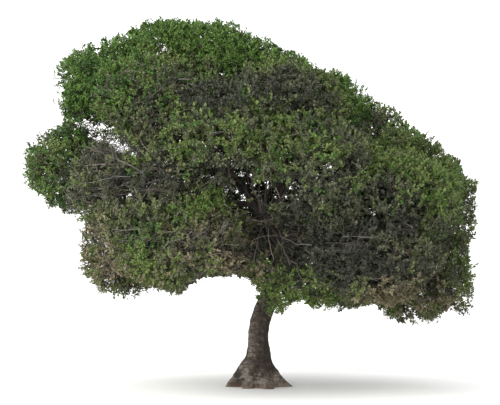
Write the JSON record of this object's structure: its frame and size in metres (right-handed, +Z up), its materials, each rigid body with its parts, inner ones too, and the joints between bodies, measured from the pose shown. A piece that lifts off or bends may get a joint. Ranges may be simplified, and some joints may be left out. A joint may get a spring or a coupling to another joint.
{
  "type": "litre tree",
  "caption": "Broad evergreen litre tree with a leaning trunk, a flared foot, a low fork, fanned boughs and a wide uneven crown in separate leafy masses.",
  "frame": {"origin": "centre of the flat cut under the trunk, at ground level", "axes": "+Z up, -Y towards the front view of the picture, +X to the right in that view"},
  "size_m": [8.2008, 6.2503, 6.6058],
  "materials": {
    "bark": "rough grey-brown bark, mottled",
    "young_bark": "rough, darker grey-brown",
    "sunlit_leaves": "leathery, satin mid green",
    "shaded_leaves": "leathery, satin dull green"
  },
  "bodies": {
    "root": {"trunk": "bark", "bough_top_left": "young_bark", "bough_top_right": "young_bark", "bough_right_flank": "young_bark", "bough_left_skirt": "young_bark", "bough_right_skirt": "young_bark", "bough_front_left": "young_bark", "bough_front_right": "young_bark", "bough_back_left": "young_bark", "bough_back_right": "young_bark", "bough_top": "young_bark", "bough_upper_left": "young_bark", "bough_left_lobe": "young_bark", "bough_left_inner": "young_bark", "bough_right_shoulder": "young_bark", "bough_right_upper": "young_bark", "bough_right_low": "young_bark", "bough_front_clump": "young_bark", "bough_front_low_left": "young_bark", "bough_front_low_right": "young_bark", "bough_front_far_right": "young_bark", "bough_front_upper_left": "young_bark", "bough_front_upper_right": "young_bark", "bough_back_low_left": "young_bark", "bough_back_low_right": "young_bark", "bough_back_far_right": "young_bark", "bough_back_mid": "young_bark", "bough_back_upper_left": "young_bark", "bough_back_upper_right": "young_bark", "foliage_top_left": "sunlit_leaves", "foliage_top_right": "sunlit_leaves", "foliage_right_flank": "shaded_leaves", "foliage_left_skirt": "shaded_leaves", "foliage_right_skirt": "shaded_leaves", "foliage_front_left": "shaded_leaves", "foliage_front_right": "sunlit_leaves", "foliage_back_left": "sunlit_leaves", "foliage_back_right": "shaded_leaves", "foliage_top": "sunlit_leaves", "foliage_upper_left": "sunlit_leaves", "foliage_left_lobe": "sunlit_leaves", "foliage_left_inner": "shaded_leaves", "foliage_right_shoulder": "sunlit_leaves", "foliage_right_upper": "sunlit_leaves", "foliage_right_low": "shaded_leaves", "foliage_front_clump": "sunlit_leaves", "foliage_front_low_left": "shaded_leaves", "foliage_front_low_right": "shaded_leaves", "foliage_front_far_right": "shaded_leaves", "foliage_front_upper_left": "sunlit_leaves", "foliage_front_upper_right": "sunlit_leaves", "foliage_back_low_left": "shaded_leaves", "foliage_back_low_right": "shaded_leaves", "foliage_back_far_right": "shaded_leaves", "foliage_back_mid": "sunlit_leaves", "foliage_back_upper_left": "sunlit_leaves", "foliage_back_upper_right": "sunlit_leaves", "foliage_trunk_skirt": "shaded_leaves"}
  },
  "joints": []
}
